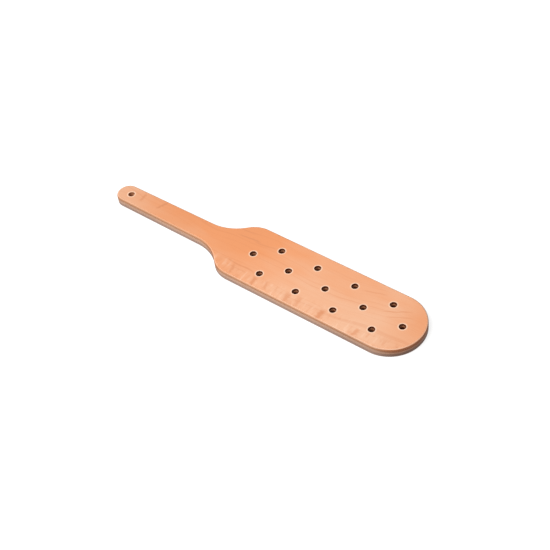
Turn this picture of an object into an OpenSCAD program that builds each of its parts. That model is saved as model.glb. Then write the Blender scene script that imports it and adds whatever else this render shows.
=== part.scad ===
// Perforated wooden paddle, cut from one plywood panel.
// X runs from the handle end to the blade end, Y across the blade and Z up through the panel.
// The origin is under the middle of the paddle's length, on the face that it lies on.

/* [Panel] */
// Overall length, from the handle end to the blade end
length = 431; // [400:1:450]
// Width of the blade, whose end is a full half circle
blade_w = 81; // [76:1:86]
// Thickness of the finished panel
thickness = 12; // [12:0.5:15]
// Radius of the rounded edge round both faces
edge_r = 2; // [1:0.5:4]
// Thickness of each glue line
glue_t = 0.15; // [0.1:0.01:0.2]

/* [Handle] */
// Width of the handle at its rounded end
handle_end_w = 27; // [25:0.1:28]
// Width of the handle where the neck starts
handle_neck_w = 29; // [28:0.1:32]
// Distance from the handle end to the start of the neck
handle_len = 135.5; // [120:0.5:140]
// Radius of the hollow neck curve
neck_r = 54.5; // [45:0.5:60]
// Radius of the rounded shoulder
shoulder_r = 32.5; // [25:0.5:36]

/* [Holes] */
// Diameter of the air holes in the blade
air_hole_d = 7.5; // [6:0.1:9]
// Distance between neighbouring air holes along a row
air_hole_pitch = 50; // [46:1:50]
// Number of air holes in the middle row; each outer row has one less
middle_row_count = 5; // [3:1:5]
// Distance from the middle row to each outer row
row_offset = 20.5; // [16:0.5:24]
// Distance from the last hole of the middle row to the blade end
end_margin = 24.5; // [20:0.5:30]
// Diameter of the hang hole in the handle
hang_hole_d = 7.5; // [6:0.1:9]
// Distance from the hang hole's axis to the handle end
hang_hole_inset = 19; // [15:0.5:21]
// Size of the broken edge round each hole
hole_break = 0.3; // [0.2:0.05:0.5]

/* [Hidden] */
$fn = 64;
// Most that a straight facet of the outline strays from its arc, and steps round the edge.
facet_tolerance = 0.02;
edge_steps = 8;
// Rings round the edge stand at least this far from a layer's own faces.
ring_gap = 0.02;
// Cutters pass through both faces by this much.
over = 1;

// Veneers from the underside up. The grain runs along the paddle in every other one, and across
// it in the crossbands between them.
VENEERS = [
    "back_veneer", "crossband_1", "long_band_1", "crossband_2", "centre_veneer",
    "crossband_3", "long_band_2", "crossband_4", "face_veneer"
];
top = len(VENEERS) - 1;
GLUE_LINES = [for (i = [1 : top]) str("glue_line_", i)];

veneer_t = (thickness - top * glue_t) / len(VENEERS);
layer_pitch = veneer_t + glue_t;

x_handle_end = -length / 2;
x_blade_end = length / 2;
handle_end_r = handle_end_w / 2;
handle_neck_y = handle_neck_w / 2;
blade_r = blade_w / 2;

// The handle's side leaves its round end at a small angle and opens out towards the neck.
handle_taper = asin((handle_neck_y - handle_end_r) / (handle_len - handle_end_r));
// The neck and the shoulder are two arcs that meet where the outline is steepest.
blade_rise = blade_r - handle_neck_y;
steepest = acos((neck_r * cos(handle_taper) + shoulder_r - blade_rise) / (neck_r + shoulder_r));

handle_centre = [x_handle_end + handle_end_r, 0];
neck_start = [x_handle_end + handle_len, handle_neck_y];
neck_centre = neck_start + neck_r * [-sin(handle_taper), cos(handle_taper)];
shoulder_centre = neck_centre + (neck_r + shoulder_r) * [sin(steepest), -cos(steepest)];
blade_centre = [x_blade_end - blade_r, 0];

// Air holes: a middle row, and an outer row on each side that stands half a pitch off it.
x_last_hole = x_blade_end - end_margin;
air_holes = concat(
    [for (i = [0 : middle_row_count - 1]) [x_last_hole - i * air_hole_pitch, 0]],
    [for (i = [0 : middle_row_count - 2], side = [-1, 1])
        [x_last_hole - (i + 0.5) * air_hole_pitch, side * row_offset]]
);
hang_hole = [x_handle_end + hang_hole_inset, 0];

// Points along an arc of radius r, moved out by grow. Its steps depend on r alone.
function arc(centre, r, grow, from, to) =
    let (n = ceil(abs(to - from) / (2 * acos(1 - facet_tolerance / r))))
    [for (i = [0 : n]) let (a = from + (to - from) * i / n) centre + (r + grow) * [cos(a), sin(a)]];

// One side of the outline, moved in by inset, from the handle end to the blade end.
function half_outline(inset) = concat(
    arc(handle_centre, handle_end_r, -inset, 180, 90 + handle_taper),
    arc(neck_centre, neck_r, inset, -90 + handle_taper, -90 + steepest),
    arc(shoulder_centre, shoulder_r, -inset, 90 + steepest, 90),
    arc(blade_centre, blade_r, -inset, 90, 0)
);

// The whole outline. Its first point is the handle end, and point i faces point count - i.
function outline(inset) =
    let (side = half_outline(inset), last = len(side) - 1)
    concat(side, [for (i = [last - 1 : -1 : 1]) [side[i].x, -side[i].y]]);

// How far the rounded edge draws in at height z.
function edge_inset(z) =
    let (rise = max(0, edge_r - z, z - thickness + edge_r))
    edge_r - sqrt(max(0, edge_r * edge_r - rise * rise));

// Heights of the rings round the edge, from the underside up.
ring_heights = concat(
    [for (i = [0 : edge_steps]) edge_r * (1 - cos(90 * i / edge_steps))],
    [for (i = [0 : edge_steps]) thickness - edge_r * (1 - sin(90 * i / edge_steps))]
);

// The heights at which one layer has a ring: its own two faces, and those between them.
function levels(z_low, z_high) = concat(
    [z_low],
    [for (z = ring_heights) if (z > z_low + ring_gap && z < z_high - ring_gap) z],
    [z_high]
);

// A layer's slab, whose edge follows the rounded edge: a stack of rings in the outline.
module slab(z_low, z_high) {
    heights = levels(z_low, z_high);
    count = len(outline(0));
    half = count / 2;
    upper = (len(heights) - 1) * count;
    points = [for (z = heights, p = outline(edge_inset(z))) [p.x, p.y, z]];
    walls = [for (k = [0 : len(heights) - 2], i = [0 : count - 1])
        let (low = k * count, next = (i + 1) % count)
        [low + i, low + next, low + count + next, low + count + i]];
    // Each cap is a row of strips across the paddle, with a triangle at either end.
    strips = [for (i = [0 : half - 1])
        i == 0 ? [0, 1, count - 1]
        : i == half - 1 ? [i, i + 1, count - i]
        : [i, i + 1, count - i - 1, count - i]];
    lower_cap = [for (strip = strips) [for (i = [len(strip) - 1 : -1 : 0]) strip[i]]];
    upper_cap = [for (strip = strips) [for (i = strip) upper + i]];
    polyhedron(points, concat(walls, lower_cap, upper_cap));
}

module at_each_hole() {
    for (at = air_holes)
        translate([at.x, at.y, 0])
            children(0);
    translate([hang_hole.x, hang_hole.y, 0])
        children(1);
}

module drill(d) {
    translate([0, 0, -over])
        cylinder(h = thickness + 2 * over, d = d);
}

// A countersink that breaks the hole's upper edge.
module hole_edge(d) {
    translate([0, 0, thickness - hole_break])
        cylinder(h = over + hole_break, d1 = d, d2 = d + 2 * (over + hole_break));
}

// One layer of the panel, from height z_low to z_high, with the holes straight through it.
module layer(z_low, z_high) {
    difference() {
        slab(z_low, z_high);
        at_each_hole() {
            drill(air_hole_d);
            drill(hang_hole_d);
        }
    }
}

module face_veneer() {
    color("burlywood")
        difference() {
            layer(top * layer_pitch, thickness);
            at_each_hole() {
                hole_edge(air_hole_d);
                hole_edge(hang_hole_d);
            }
        }
}

module back_veneer() {
    translate([0, 0, thickness])
        mirror([0, 0, 1])
            face_veneer();
}

module long_grain_veneer(i) {
    color("burlywood")
        layer(i * layer_pitch, i * layer_pitch + veneer_t);
}

module cross_grain_veneer(i) {
    color("peru")
        layer(i * layer_pitch, i * layer_pitch + veneer_t);
}

module glue_line(i) {
    color("saddlebrown")
        layer(i * layer_pitch - glue_t, i * layer_pitch);
}

back_veneer();
face_veneer();
for (i = [2 : 2 : top - 1])
    long_grain_veneer(i);
for (i = [1 : 2 : top])
    cross_grain_veneer(i);
for (i = [1 : top])
    glue_line(i);
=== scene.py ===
"""Perforated plywood paddle: fine meshes, wood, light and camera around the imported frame.

Lengths are in metres in the row's frame: X from the handle end to the blade end, Y across the
blade, Z up. The CAD layers give the paddle's length, width and thickness and each ply's height.
"""
import math

import bmesh
import bpy
from mathutils import Matrix, Vector


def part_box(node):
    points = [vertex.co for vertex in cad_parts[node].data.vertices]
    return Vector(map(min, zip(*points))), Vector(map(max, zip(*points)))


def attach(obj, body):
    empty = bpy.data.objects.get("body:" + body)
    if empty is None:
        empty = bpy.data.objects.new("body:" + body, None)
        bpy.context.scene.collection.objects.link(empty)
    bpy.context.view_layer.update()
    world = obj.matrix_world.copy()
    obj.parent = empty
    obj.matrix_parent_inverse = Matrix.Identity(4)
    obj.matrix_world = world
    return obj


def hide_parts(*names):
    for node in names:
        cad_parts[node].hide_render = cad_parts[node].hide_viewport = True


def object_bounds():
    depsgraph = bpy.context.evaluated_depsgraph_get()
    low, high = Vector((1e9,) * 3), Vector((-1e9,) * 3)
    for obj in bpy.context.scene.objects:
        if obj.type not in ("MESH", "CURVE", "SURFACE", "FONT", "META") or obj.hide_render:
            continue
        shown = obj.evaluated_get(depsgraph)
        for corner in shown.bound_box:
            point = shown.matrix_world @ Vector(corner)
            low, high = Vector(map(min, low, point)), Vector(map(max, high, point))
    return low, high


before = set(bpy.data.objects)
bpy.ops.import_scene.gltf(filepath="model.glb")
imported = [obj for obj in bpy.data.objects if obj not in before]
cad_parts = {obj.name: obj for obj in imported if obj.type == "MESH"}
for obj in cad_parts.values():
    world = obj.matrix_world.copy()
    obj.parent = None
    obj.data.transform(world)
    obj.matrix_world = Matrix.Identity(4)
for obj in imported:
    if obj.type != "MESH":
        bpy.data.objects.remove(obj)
cad_box = [list(corner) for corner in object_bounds()]

MM = 0.001

# ---------------------------------------------------------------------------
# Sizes. What the frame doesn't give is named as in the part's source.
# ---------------------------------------------------------------------------
LOW, HIGH = (Vector(corner) for corner in cad_box)
BLADE_R = (HIGH.y - LOW.y) / 2
TOP_Z = HIGH.z

HANDLE_END_R = 13.5 * MM
HANDLE_NECK_Y = 14.5 * MM
HANDLE_LEN = 135.5 * MM
NECK_R = 54.5 * MM
SHOULDER_R = 32.5 * MM
EDGE_R = 2 * MM

HOLE_R = 3.75 * MM
HOLE_PITCH = 50 * MM
ROW_OFFSET = 20.5 * MM
MIDDLE_ROW_COUNT = 5
LAST_HOLE_X = HIGH.x - 24.5 * MM
HANG_HOLE_X = LOW.x + 19 * MM
HOLE_BREAK = 0.3 * MM

# How far the edges of the crossbands and of the glue lines stand in from the long-grain plies'.
CROSSBAND_RECESS = 0.03 * MM
GLUE_RECESS = 0.06 * MM

TAPER = math.asin((HANDLE_NECK_Y - HANDLE_END_R) / (HANDLE_LEN - HANDLE_END_R))
STEEPEST = math.acos(
    (NECK_R * math.cos(TAPER) + SHOULDER_R - (BLADE_R - HANDLE_NECK_Y)) / (NECK_R + SHOULDER_R)
)

VENEERS = [
    "back_veneer", "crossband_1", "long_band_1", "crossband_2", "centre_veneer",
    "crossband_3", "long_band_2", "crossband_4", "face_veneer",
]
GLUE_LINES = ["glue_line_%d" % (i + 1) for i in range(len(VENEERS) - 1)]


def hole_centres():
    """The middle row of air holes, the two outer rows half a pitch off it, and the hang hole."""
    middle = [Vector((LAST_HOLE_X - i * HOLE_PITCH, 0)) for i in range(MIDDLE_ROW_COUNT)]
    outer = [
        Vector((LAST_HOLE_X - (i + 0.5) * HOLE_PITCH, side * ROW_OFFSET))
        for i in range(MIDDLE_ROW_COUNT - 1)
        for side in (-1, 1)
    ]
    return middle + outer + [Vector((HANG_HOLE_X, 0))]


# ---------------------------------------------------------------------------
# The outline, as stations: a point and the outward normal there.
# ---------------------------------------------------------------------------
def polar(angle):
    return Vector((math.cos(angle), math.sin(angle)))


def arc(centre, radius, start, end, outward=1, step=0.9 * MM):
    """Stations along an arc. outward is -1 where the outline hollows in round the centre."""
    count = math.ceil(abs(end - start) * radius / step)
    turns = (polar(start + (end - start) * i / count) for i in range(count + 1))
    return [(centre + radius * turn, outward * turn) for turn in turns]


def line(start, end, normal, step=4 * MM):
    """Stations between two points, without the points themselves."""
    count = math.ceil((end - start).length / step)
    return [(start.lerp(end, i / count), normal) for i in range(1, count)]


def outline():
    """The handle end, neck, shoulder and blade end on the far side, and their mirror image."""
    quarter = math.pi / 2
    handle_centre = Vector((LOW.x + HANDLE_END_R, 0))
    neck_start = Vector((LOW.x + HANDLE_LEN, HANDLE_NECK_Y))
    neck_centre = neck_start + NECK_R * polar(quarter + TAPER)
    shoulder_centre = neck_centre + (NECK_R + SHOULDER_R) * polar(STEEPEST - quarter)
    blade_centre = Vector((HIGH.x - BLADE_R, 0))

    handle_end = arc(handle_centre, HANDLE_END_R, math.pi, quarter + TAPER)
    neck = arc(neck_centre, NECK_R, TAPER - quarter, STEEPEST - quarter, outward=-1)
    shoulder = arc(shoulder_centre, SHOULDER_R, quarter + STEEPEST, quarter)
    blade_end = arc(blade_centre, BLADE_R, quarter, 0)
    handle_side = line(handle_end[-1][0], neck[0][0], polar(quarter + TAPER))
    blade_side = line(shoulder[-1][0], blade_end[0][0], polar(quarter))

    far = handle_end + handle_side + neck + shoulder[1:] + blade_side + blade_end
    near = [(Vector((p.x, -p.y)), Vector((n.x, -n.y))) for p, n in reversed(far[1:-1])]
    return far + near


OUTLINE = outline()
HOLES = hole_centres()


# ---------------------------------------------------------------------------
# Meshes
# ---------------------------------------------------------------------------
def outline_ring(bm, inset, z):
    """The outline drawn in by inset, at height z."""
    return [bm.verts.new((*(point - inset * normal), z)) for point, normal in OUTLINE]


def hole_ring(bm, centre, growth, z, phase):
    """A ring round a hole. The more it has grown, the less even the torn edge is."""
    steps = 48
    ring = []
    for i in range(steps):
        angle = 2 * math.pi * i / steps
        tear = 0.22 * math.sin(3 * angle + phase) + 0.16 * math.sin(7 * angle + 2.3 * phase)
        point = centre + (HOLE_R + growth * (1 + tear)) * polar(angle)
        ring.append(bm.verts.new((*point, z)))
    return ring


def bridge(bm, rings, slot=0):
    """Walls between rings that follow each other. Returns each end's edges.

    A band between two rings at one height is part of the face, so it takes slot 0.
    """
    tolerance = 0.001 * MM
    for low, high in zip(rings, rings[1:]):
        level = abs(high[0].co.z - low[0].co.z) < tolerance
        for i, vert in enumerate(low):
            face = bm.faces.new((vert, low[i - 1], high[i - 1], high[i]))
            face.material_index = 0 if level else slot
    return [
        [bm.edges.get((ring[i - 1], ring[i])) for i in range(len(ring))]
        for ring in (rings[0], rings[-1])
    ]


def quarter_turn(radius, steps):
    """(inset, drop) pairs round a quarter circle, from the wall to the face."""
    angles = (0.5 * math.pi * i / steps for i in range(steps + 1))
    return [(radius * (1 - math.cos(a)), radius * (1 - math.sin(a))) for a in angles]


def edge_inset(z):
    """How far the rounded edge draws in at height z."""
    rise = max(0.0, EDGE_R - z, z - (TOP_Z - EDGE_R))
    return EDGE_R - math.sqrt(max(0.0, EDGE_R**2 - rise**2))


def edge_profile(z_low, z_high, recess):
    """(inset, z) up a layer's outer edge, at its two faces and at even turns between them."""
    gap = 0.01 * MM
    steps = 24
    drops = [drop for _, drop in quarter_turn(EDGE_R, steps)]
    turns = sorted(drops + [TOP_Z - drop for drop in drops])
    heights = [z_low] + [z for z in turns if z_low + gap < z < z_high - gap] + [z_high]
    return [(edge_inset(z) + recess, z) for z in heights]


def layer_mesh(name, recess=0.0, outer=False, under=False):
    """One closed layer at its CAD node's height, with the holes through it.

    An outer layer also has the flat face and the holes' broken edges. It is built as the upper
    one, and turned over if it is the one underneath.
    """
    low, high = (corner.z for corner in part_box(name))
    if under:
        low, high = TOP_Z - high, TOP_Z - low
    edge = edge_profile(low, high, recess)
    wall = [(0, low), (0, high)]
    if outer:
        # A narrow level band beside each rounding keeps its shading off the flat face.
        support = 0.35 * MM
        edge.append((EDGE_R + support, high))
        break_steps = 4
        wall[1:] = [(growth, high - drop) for growth, drop in quarter_turn(HOLE_BREAK, break_steps)]
        wall.append((HOLE_BREAK + support, high))
    bm = bmesh.new()
    ends = [bridge(bm, [outline_ring(bm, inset, z) for inset, z in edge])]
    for i, centre in enumerate(HOLES):
        phase = 1.7 * i
        rings = [hole_ring(bm, centre, growth, z, phase) for growth, z in wall]
        ends.append(bridge(bm, rings, slot=1))
    for side in (0, 1):
        cap_edges = [e for end in ends for e in end[side]]
        bmesh.ops.triangle_fill(bm, use_beauty=True, edges=cap_edges)
    if under:
        mirror = Matrix.Translation((0, 0, TOP_Z)) @ Matrix.Scale(-1, 4, (0, 0, 1))
        bmesh.ops.transform(bm, matrix=mirror, verts=bm.verts)
    bmesh.ops.recalc_face_normals(bm, faces=bm.faces)
    mesh = bpy.data.meshes.new(name + "_fine")
    bm.to_mesh(mesh)
    bm.free()
    mesh.polygons.foreach_set("use_smooth", [True] * len(mesh.polygons))
    sharp = math.radians(40)
    mesh.set_sharp_from_angle(angle=sharp)
    return mesh


def make_layer(name, slot, material, wall_material, **shape):
    """A fine layer that stands for the CAD node of the same name."""
    piece = bpy.data.objects.new(name + "_fine", layer_mesh(name, **shape))
    bpy.context.scene.collection.objects.link(piece)
    piece.data.materials.append(material)
    piece.data.materials.append(wall_material)
    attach(piece, "root")
    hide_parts(name)


# ---------------------------------------------------------------------------
# Node helpers. An input can be a socket, a number or a colour.
# ---------------------------------------------------------------------------
class Nodes:
    def __init__(self, tree):
        self.tree = tree

    def make(self, kind, settings=None, **inputs):
        """A node with its settings. An input's name is written with _ in place of each space."""
        node = self.tree.nodes.new(kind)
        for key, value in (settings or {}).items():
            setattr(node, key, value)
        for key, value in inputs.items():
            self.feed(node.inputs[key.replace("_", " ")], value)
        return node

    def feed(self, socket, value):
        if isinstance(value, bpy.types.NodeSocket):
            self.tree.links.new(value, socket)
        else:
            socket.default_value = value

    def math(self, operation, *values, clamp=False):
        node = self.tree.nodes.new("ShaderNodeMath")
        node.operation = operation
        node.use_clamp = clamp
        for socket, value in zip(node.inputs, values):
            self.feed(socket, value)
        return node.outputs[0]

    def add(self, *values):
        total = values[0]
        for value in values[1:]:
            total = self.math("ADD", total, value)
        return total

    def times(self, *values):
        total = values[0]
        for value in values[1:]:
            total = self.math("MULTIPLY", total, value)
        return total

    def split(self, vector):
        return self.make("ShaderNodeSeparateXYZ", Vector=vector).outputs

    def join(self, x, y, z=0.0):
        return self.make("ShaderNodeCombineXYZ", X=x, Y=y, Z=z).outputs[0]

    def noise(self, x, y, z=0.0, detail=2.0, roughness=0.5):
        """Noise from 0 to 1 about 0.5, of coordinates already divided by the size of its grain."""
        vector = self.join(x, y, z)
        node = self.make(
            "ShaderNodeTexNoise", Vector=vector, Scale=1.0, Detail=detail, Roughness=roughness
        )
        return node.outputs["Fac"]

    def remap(self, value, low, high, to_low=0.0, to_high=1.0, smooth=True):
        """The value moved from low..high to to_low..to_high, and held level beyond them."""
        settings = {"interpolation_type": "SMOOTHSTEP" if smooth else "LINEAR", "clamp": True}
        node = self.make("ShaderNodeMapRange", settings, Value=value)
        ends = {"From Min": low, "From Max": high, "To Min": to_low, "To Max": to_high}
        for key, number in ends.items():
            self.feed(node.inputs[key], number)
        return node.outputs[0]

    def blend(self, factor, first, second, mode="MIX"):
        node = self.tree.nodes.new("ShaderNodeMix")
        node.data_type = "RGBA"
        node.blend_type = mode
        self.feed(node.inputs[0], factor)
        self.feed(node.inputs[6], first)
        self.feed(node.inputs[7], second)
        return node.outputs[2]

    def millimetres(self):
        """The object's own coordinates, which are the row's, in millimetres."""
        place = self.make("ShaderNodeTexCoord").outputs["Object"]
        scaled = self.make("ShaderNodeVectorMath", {"operation": "SCALE"}, Vector=place, Scale=1 / MM)
        return self.split(scaled.outputs[0])


def colour(r, g, b):
    return (r, g, b, 1.0)


# ---------------------------------------------------------------------------
# Wood
# ---------------------------------------------------------------------------
ORANGE = colour(0.735, 0.285, 0.116)
PINK = colour(0.745, 0.425, 0.265)
LATEWOOD = colour(0.56, 0.19, 0.075)
FLAME = colour(0.60, 0.230, 0.100)
FLECK = colour(0.40, 0.14, 0.06)
# Pale wood in the curl figure, and the painted highlight along the rounding edge and round each hole.
HIGHLIGHT_AND_PALE_WOOD = colour(0.84, 0.56, 0.40)
# Scorch at the holes, which also paints the shade at their rims and on their walls.
SCORCH_AND_SHADE = colour(0.11, 0.020, 0.003)
BURNT_WALL = colour(0.52, 0.190, 0.080)
PALE_WALL = colour(0.60, 0.300, 0.160)

# The panel's edge in three bands from its foot up, each along the grain and across it: the dark foot
# is painted shade and the paler middle a painted reflection of the floor.
EDGE_BANDS = [
    (colour(0.47, 0.315, 0.250), colour(0.265, 0.150, 0.108)),
    (colour(0.70, 0.435, 0.300), colour(0.520, 0.270, 0.165)),
    (colour(0.50, 0.235, 0.115), colour(0.420, 0.135, 0.045)),
]

# How pink the face is along the paddle: (millimetres along X, 0 orange to 1 pink).
TONE_STOPS = [
    (-215, 0.85), (-190, 0.72), (-165, 0.32), (-140, 0.08), (-100, 0.08), (-50, 0.0), (-20, 0.0),
    (20, 0.30), (65, 0.62), (115, 0.65), (165, 0.85), (200, 0.48), (215, 0.38),
]

# Cross-grain flames on the face: middle X and Y, half length, half width, slant, strength.
FLAMES = [
    (-15, -31, 8, 1.4, -0.25, 0.55),
    (17, -33, 7, 1.8, -0.12, 0.75),
    (33, -31, 7, 1.4, -0.35, 0.50),
    (63, -33, 8, 2.2, -0.10, 0.65),
    (77, -32, 8, 1.8, -0.15, 0.45),
    (108, -33, 8, 2.4, 0.0, 0.80),
    (154, -33, 6, 2.0, 0.10, 0.60),
    (-180, 3, 7, 1.3, -0.10, 0.55),
    (-151, 5, 8, 1.2, 0.35, 0.75),
]

# Stronger growth lines, in millimetres: start, end, Y at the start, rise per length, strength.
GROWTH_LINES = [
    (-36, 14, -21.0, -0.03, 0.60),
    (-30, 5, -27.0, -0.02, 0.35),
    (-44, -10, 16.0, 0.08, 0.60),
    (-22, 12, 15.5, 0.12, 0.45),
    (-60, -20, 24.0, 0.05, 0.30),
    (125, 155, 20.0, 0.30, 0.35),
    (160, 190, 6.0, 0.55, 0.50),
    (168, 196, 2.0, 0.50, 0.35),
]


def hole_distance(n, x, y):
    """Millimetres from the nearest hole's axis, by folding the staggered rows onto one hole."""
    pitch, offset, far_off = HOLE_PITCH / MM, ROW_OFFSET / MM, 100.0
    across = n.math("ABSOLUTE", y)
    outer = n.math("GREATER_THAN", across, offset / 2)
    across = n.math("SUBTRACT", across, n.times(outer, offset))
    shift = n.add(n.math("SUBTRACT", x, LAST_HOLE_X / MM), n.times(outer, pitch / 2))
    along = n.math("PINGPONG", shift, pitch / 2)
    reach = n.math("SQRT", n.add(n.times(along, along), n.times(across, across)))
    first_x = (LAST_HOLE_X - (MIDDLE_ROW_COUNT - 1) * HOLE_PITCH) / MM
    before = n.math("LESS_THAN", x, n.add(first_x - pitch / 2, n.times(outer, pitch / 2)))
    reach = n.add(reach, n.times(before, far_off))
    to_hang = n.math("SUBTRACT", x, HANG_HOLE_X / MM)
    hang = n.math("SQRT", n.add(n.times(to_hang, to_hang), n.times(y, y)))
    return n.math("MINIMUM", reach, hang)


def round_holes(n, base, x, y, z):
    """The base colour, a little paler in a painted highlight round each hole, and burnt dark at its
    rim, a scorch that also paints the shade at the hole's edge.
    """
    edge = HOLE_R / MM
    reach = hole_distance(n, x, y)
    # Painted highlight: a little paler in a ring round the hole.
    base = n.blend(n.remap(reach, edge + 0.6, edge + 2.3, 0.95, 0.0), base, HIGHLIGHT_AND_PALE_WOOD)
    ragged = n.times(n.math("SUBTRACT", n.noise(n.times(x, 1.3), n.times(y, 1.3), z), 0.5), 0.5)
    # Scorch at the rim, which also paints the shade at the hole's edge.
    scorch_and_shade = n.remap(n.add(reach, ragged), edge - 0.25, edge + 0.12, 0.95, 0.0)
    return n.blend(scorch_and_shade, base, SCORCH_AND_SHADE)


def flames(n, base, x, y, seed):
    """Short dark bands across the grain, each one ragged along the fibres."""
    ragged = n.noise(n.times(x, 1 / 9), n.times(y, 1 / 1.1), seed, detail=3.0)
    shift = n.times(n.math("SUBTRACT", ragged, 0.5), 6.0)
    for middle_x, middle_y, half_length, half_width, slant, strength in FLAMES:
        up = n.math("SUBTRACT", y, middle_y)
        along = n.add(n.math("SUBTRACT", x, middle_x), shift, n.times(up, -slant))
        body = n.remap(n.math("ABSOLUTE", along), 0.4 * half_width, 2.0 * half_width, strength, 0.0)
        fade = n.remap(n.math("ABSOLUTE", up), 0.5 * half_length, 1.2 * half_length, 1.0, 0.0)
        base = n.blend(n.times(body, fade), base, FLAME)
    return base


def ripple(n, base, x, y, seed):
    """Faint curl across the grain, in the strip along the near side."""
    field = n.noise(n.times(x, 1 / 5), n.times(y, 1 / 16), seed, detail=2.0, roughness=0.6)
    strip = n.remap(y, -16.0, -30.0)
    base = n.blend(n.times(n.remap(field, 0.52, 0.68, 0.0, 0.32), strip), base, FLAME)
    return n.blend(n.times(n.remap(field, 0.46, 0.32, 0.0, 0.28), strip), base, HIGHLIGHT_AND_PALE_WOOD)


def growth_lines(n, base, x, y, seed):
    """Single growth lines that are stronger than their neighbours, wavering along the grain."""
    waver = n.noise(n.times(x, 1 / 17), n.times(y, 1 / 30), seed, detail=2.0)
    shift = n.times(n.math("SUBTRACT", waver, 0.5), 5.0)
    for start_x, end_x, start_y, rise, strength in GROWTH_LINES:
        middle, half = (start_x + end_x) / 2, (end_x - start_x) / 2
        from_start = n.math("SUBTRACT", x, start_x)
        up = n.add(n.math("SUBTRACT", y, start_y), shift, n.times(from_start, -rise))
        body = n.remap(n.math("ABSOLUTE", up), 0.3, 1.5, strength, 0.0)
        from_middle = n.math("ABSOLUTE", n.math("SUBTRACT", x, middle))
        fade = n.remap(from_middle, 0.5 * half, 1.1 * half, 1.0, 0.0)
        base = n.blend(n.times(body, fade), base, FLAME)
    return base


def finish_wood(n, base, roughness, height, strength, coat):
    """A thin clear coat over grain that stands up a little. Returns the shader."""
    relief = 0.06 * MM
    bump = n.make("ShaderNodeBump", Strength=strength, Distance=relief, Height=height)
    shader = n.make(
        "ShaderNodeBsdfPrincipled", Base_Color=base, Roughness=roughness, Normal=bump.outputs[0]
    )
    shader.inputs["IOR"].default_value = 1.47
    shader.inputs["Coat Weight"].default_value = coat
    shader.inputs["Coat Roughness"].default_value = 0.25
    n.make("ShaderNodeOutputMaterial", Surface=shader.outputs[0])
    return shader


def new_material(name):
    material = bpy.data.materials.new(name)
    material.use_nodes = True
    material.node_tree.nodes.clear()
    return material, Nodes(material.node_tree)


def face_tone(n, x, y, seed):
    """0 orange to 1 pink: by place along the paddle, pinker toward the near side, and clouded."""
    length = (HIGH.x - LOW.x) / MM
    ramp = n.make("ShaderNodeValToRGB", Fac=n.remap(x, LOW.x / MM, HIGH.x / MM, smooth=False))
    stops = ramp.color_ramp.elements
    stops.remove(stops[0])
    for place, tone in TONE_STOPS:
        stop = stops.new((place - LOW.x / MM) / length)
        stop.color = colour(tone, tone, tone)
    stops.remove(stops[-1])
    near = n.remap(y, -30.0, 30.0, 0.24, -0.24, smooth=False)
    cloud = n.math("SUBTRACT", n.noise(n.times(x, 1 / 55), n.times(y, 1 / 20), seed), 0.5)
    return n.math("ADD", n.add(ramp.outputs[0], near), n.times(cloud, 0.8), clamp=True)


def end_grain(n):
    """0 where the outline runs along the grain, 1 where it cuts across it."""
    x_normal, _, z_normal = n.split(n.make("ShaderNodeTexCoord").outputs["Normal"])
    level_squared = n.math("SUBTRACT", 1.0, n.times(z_normal, z_normal))
    level = n.math("SQRT", n.math("MAXIMUM", level_squared, 0.0025))
    return n.remap(n.math("DIVIDE", n.math("ABSOLUTE", x_normal), level), 0.10, 0.75)


def edge_tone(n, z, patch):
    """Colour of the panel's edge: darker at its foot as painted shade, paler halfway as a painted
    reflection of the floor, and browner under the face.

    Its long sides are a little darker toward the handle end and toward the blade end, as painted
    shade.
    """
    across_grain = end_grain(n)
    x = n.millimetres()[0]
    painted_shade_foot, painted_sheen_core, upper = (n.blend(across_grain, along, across) for along, across in EDGE_BANDS)
    height = n.add(z, patch)
    # Painted shade at the foot and a painted reflection of the floor halfway up.
    base = n.blend(n.remap(height, 4.9, 6.8), painted_shade_foot, painted_sheen_core)
    base = n.blend(n.remap(n.add(height, n.times(across_grain, 1.8)), 9.1, 10.4), base, upper)
    # Painted shade on the long sides toward both ends.
    painted_shade_toward_ends = n.add(n.remap(x, -130.0, -170.0, 0.0, 0.08), n.remap(x, 90.0, 150.0, 0.0, 0.14))
    along_grain = n.math("SUBTRACT", 1.0, across_grain)
    return n.blend(1.0, base, n.math("SUBTRACT", 1.0, n.times(painted_shade_toward_ends, along_grain)), "MULTIPLY")


def face_painted_light(n, base, x):
    """Painted light and shade: the blade a little lighter than the handle, and its end a little darker
    again.
    """
    handle = n.remap(x, -120.0, -60.0, 0.96, 1.0)
    blade = n.remap(x, -50.0, 40.0, 1.0, 1.045)
    blade_end = n.remap(x, 170.0, 205.0, 1.0, 0.97)
    return n.blend(1.0, base, n.times(handle, blade, blade_end), "MULTIPLY")


def edge_shade(n, base, z):
    """The face colour, with a painted highlight where it starts to roll over, and the edge's colour
    beyond that.

    Across the grain the painted highlight is stronger and the face colour reaches further round,
    painted light on the ends' rounding.
    """
    up = n.math("ABSOLUTE", n.split(n.make("ShaderNodeTexCoord").outputs["Normal"])[2])
    across_grain = end_grain(n)
    # Painted light: across the grain the face colour reaches further round.
    up = n.add(up, n.times(across_grain, 0.7, n.math("SUBTRACT", 1.0, up)))
    # Painted highlight along the start of the rounding, stronger across the grain.
    rim_highlight = n.times(n.remap(up, 0.960, 0.998, 1.0, 0.0), n.add(0.25, n.times(across_grain, 0.45)))
    base = n.blend(rim_highlight, base, HIGHLIGHT_AND_PALE_WOOD)
    return n.blend(n.remap(up, 0.85, 0.97, 1.0, 0.0), base, edge_tone(n, z, 0.5))


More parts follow.
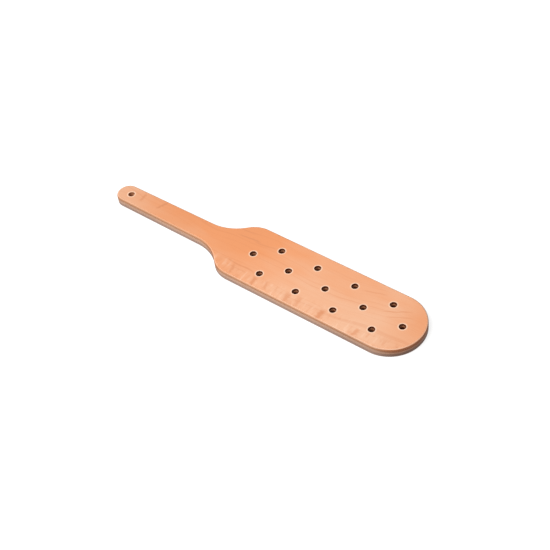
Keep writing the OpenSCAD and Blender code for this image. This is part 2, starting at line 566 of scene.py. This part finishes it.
def face_wood(name, seed, figured):
    """Flat-cut face of the panel: growth lines along the paddle, fibres, pores and ray flecks."""
    material, n = new_material(name)
    x, y, z = n.millimetres()
    drift = n.noise(n.times(x, 1 / 110), n.times(y, 1 / 45), seed)
    warp = n.times(n.math("SUBTRACT", drift, 0.5), 26.0)
    warp = n.add(warp, n.remap(x, 100.0, 215.0, 0.0, -16.0))
    level = n.add(y, warp)
    growth = n.noise(n.times(x, 1 / 400), n.times(level, 1 / 2.6), seed + 3, detail=3.0, roughness=0.6)
    late = n.remap(growth, 0.52, 0.74)
    fibre = n.noise(n.times(x, 1 / 28), n.times(level, 1 / 0.33), seed + 7, detail=4.0, roughness=0.65)
    fleck_field = n.noise(n.times(x, 1 / 1.5), n.times(y, 1 / 0.26), seed + 11, detail=1.0)
    fleck = n.remap(fleck_field, 0.70, 0.80)
    base = n.blend(face_tone(n, x, y, seed + 17), ORANGE, PINK)
    base = n.blend(n.times(late, 0.32), base, LATEWOOD)
    base = n.blend(n.remap(fibre, 0.35, 0.75, 0.0, 0.18, smooth=False), base, LATEWOOD)
    if figured:
        base = growth_lines(n, base, x, y, seed + 29)
        base = ripple(n, base, x, y, seed + 31)
        base = flames(n, base, x, y, seed + 23)
    base = n.blend(n.times(fleck, 0.30), base, FLECK)
    # Painted light and shade along the face.
    base = face_painted_light(n, base, x)
    base = edge_shade(n, base, z)
    base = round_holes(n, base, x, y, z)
    height = n.math("SUBTRACT", n.times(fibre, 0.6), n.times(fleck, 0.5))
    roughness = n.remap(fibre, 0.3, 0.7, 0.40, 0.52, smooth=False)
    finish_wood(n, base, roughness, height, 0.5, coat=0.15)
    return material


def edge_wood(name, seed, cross):
    """The edge of an inner ply: long grain on two sides and end grain on the other two."""
    material, n = new_material(name)
    x, y, z = n.millimetres()
    run = y if cross else x
    streak = n.noise(n.times(run, 1 / 22), n.times(z, 1 / 0.16), seed, detail=3.0)
    speck = n.noise(n.times(x, 1 / 0.35), n.times(y, 1 / 0.35), n.times(z, 1 / 0.3), detail=2.0)
    patch = n.noise(n.times(x, 1 / 14), n.times(y, 1 / 14), seed + 5)
    base = edge_tone(n, z, patch)
    grain = speck if cross else streak
    strength = 0.40 if cross else 0.22
    base = n.blend(n.remap(grain, 0.35, 0.75, 0.0, strength, smooth=False), base, FLECK)
    finish_wood(n, base, n.remap(patch, 0.3, 0.7, 0.45, 0.6), grain, 0.5, coat=0.10)
    return material


def resin(name):
    """The edge of a glue line: the edge's colour, mottled dark."""
    material, n = new_material(name)
    x, y, z = n.millimetres()
    mottle = n.noise(n.times(x, 1 / 3.0), n.times(y, 1 / 3.0), z)
    base = n.blend(n.remap(mottle, 0.3, 0.7, 0.20, 0.50), edge_tone(n, z, mottle), FLECK)
    finish_wood(n, base, n.remap(mottle, 0.3, 0.7, 0.35, 0.5), mottle, 0.2, coat=0.10)
    return material


def hole_wall_scorch_and_shade(name, wood):
    """The drilled walls: scorched dark at either rim, a scorch that also paints their shade, darker on
    one side as painted shade, and less so in the hang hole.
    """
    material, n = new_material(name)
    x, y, z = n.millimetres()
    from_core = n.math("ABSOLUTE", n.math("SUBTRACT", z, 0.67 * TOP_Z / MM))
    streak = n.noise(n.times(x, 1 / 0.5), n.times(y, 1 / 0.5), n.times(z, 1 / 4.0), detail=3.0)
    uneven = n.times(n.math("SUBTRACT", streak, 0.5), 0.5)
    x_normal = n.split(n.make("ShaderNodeTexCoord").outputs["Normal"])[0]
    # Painted shade: the walls that face -X are darker.
    painted_shade_side = n.remap(x_normal, 0.5, -0.5, 0.0, 0.5)
    in_handle = n.math("LESS_THAN", x, -150.0)
    # Scorch at either rim, which also paints the shade in the hole.
    scorch_and_shade = n.add(n.remap(from_core, 0.6, 2.0, 0.05, 1.0), uneven, painted_shade_side)
    scorch_and_shade = n.math("SUBTRACT", scorch_and_shade, n.times(in_handle, 0.75))
    base = n.blend(n.math("ADD", scorch_and_shade, 0.0, clamp=True), wood, SCORCH_AND_SHADE)
    shader = finish_wood(n, base, n.remap(streak, 0.3, 0.7, 0.7, 0.9), streak, 0.5, coat=0.0)
    shader.inputs["Specular IOR Level"].default_value = 0.2
    return material


# ---------------------------------------------------------------------------
# Camera, light and floor
# ---------------------------------------------------------------------------
def make_camera():
    """A distant, slightly tilted view along the paddle from the near side of its blade end."""
    target = Vector((28.1 * MM, -8.7 * MM, 6 * MM))
    azimuth, elevation, roll = (math.radians(a) for a in (43.70, 46.05, -8.22))
    distance = 1.3206
    back = Vector((
        math.sin(azimuth) * math.cos(elevation),
        -math.cos(azimuth) * math.cos(elevation),
        math.sin(elevation),
    ))
    data = bpy.data.cameras.new("camera")
    data.lens = 78.04
    data.sensor_width = 36.0
    camera = bpy.data.objects.new("camera", data)
    place = Matrix.Translation(target + distance * back)
    turn = (-back).to_track_quat("-Z", "Y").to_matrix().to_4x4()
    camera.matrix_world = place @ turn @ Matrix.Rotation(roll, 4, "Z")
    bpy.context.scene.collection.objects.link(camera)
    bpy.context.scene.camera = camera


def area_light(name, azimuth, elevation, distance, size, power):
    """A round light that points at the origin. Its azimuth runs from -Y toward +X."""
    a, e = math.radians(azimuth), math.radians(elevation)
    place = distance * Vector((math.sin(a) * math.cos(e), -math.cos(a) * math.cos(e), math.sin(e)))
    data = bpy.data.lights.new(name, "AREA")
    data.shape = "DISK"
    data.size = size
    data.energy = power
    light = bpy.data.objects.new(name, data)
    turn = (-place).to_track_quat("-Z", "Y").to_matrix().to_4x4()
    light.matrix_world = Matrix.Translation(place) @ turn
    bpy.context.scene.collection.objects.link(light)


def make_world(strength):
    """Even white light from all round."""
    world = bpy.data.worlds.new("studio")
    bpy.context.scene.world = world
    world.use_nodes = True
    background = world.node_tree.nodes["Background"]
    background.inputs["Color"].default_value = colour(1.0, 1.0, 1.0)
    background.inputs["Strength"].default_value = strength


def make_floor():
    """A white floor that lights up by itself, so that only the contact shadow shows on it."""
    half = 6.0
    drop = 0.1 * MM
    bm = bmesh.new()
    corners = [(-half, -half), (half, -half), (half, half), (-half, half)]
    bm.faces.new([bm.verts.new((x, y, -drop)) for x, y in corners])
    mesh = bpy.data.meshes.new("floor")
    bm.to_mesh(mesh)
    bm.free()
    floor = bpy.data.objects.new("floor", mesh)
    bpy.context.scene.collection.objects.link(floor)
    material, n = new_material("floor_white")
    shader = n.make("ShaderNodeBsdfPrincipled", Base_Color=colour(0.35, 0.35, 0.35), Roughness=0.9)
    shader.inputs["Specular IOR Level"].default_value = 0.0
    shader.inputs["Emission Color"].default_value = colour(1.0, 1.0, 1.0)
    shader.inputs["Emission Strength"].default_value = 0.78
    n.make("ShaderNodeOutputMaterial", Surface=shader.outputs[0])
    mesh.materials.append(material)
    floor.visible_diffuse = False
    floor.visible_glossy = False


make_camera()
bpy.context.scene.view_settings.view_transform = "Standard"
make_world(0.40)
area_light("key", -20, 58, 2.2, 1.8, 57)
make_floor()

face_material = face_wood("face_wood", 2.0, figured=True)
back_material = face_wood("back_wood", 31.0, figured=False)
long_edge = edge_wood("long_grain_edge", 5.0, cross=False)
cross_edge = edge_wood("cross_grain_edge", 9.0, cross=True)
resin_material = resin("glue_resin")
long_wall = hole_wall_scorch_and_shade("long_grain_hole_wall", PALE_WALL)
cross_wall = hole_wall_scorch_and_shade("cross_grain_hole_wall", BURNT_WALL)

make_layer("face_veneer", "long_grain_veneer", face_material, long_wall, outer=True)
make_layer("back_veneer", "long_grain_veneer", back_material, long_wall, outer=True, under=True)
for i, veneer in enumerate(VENEERS[1:-1], start=1):
    if i % 2 == 0:
        make_layer(veneer, "long_grain_veneer", long_edge, long_wall)
    else:
        make_layer(veneer, "cross_grain_veneer", cross_edge, cross_wall, recess=CROSSBAND_RECESS)
for glue in GLUE_LINES:
    make_layer(glue, "glue_line", resin_material, cross_wall, recess=GLUE_RECESS)
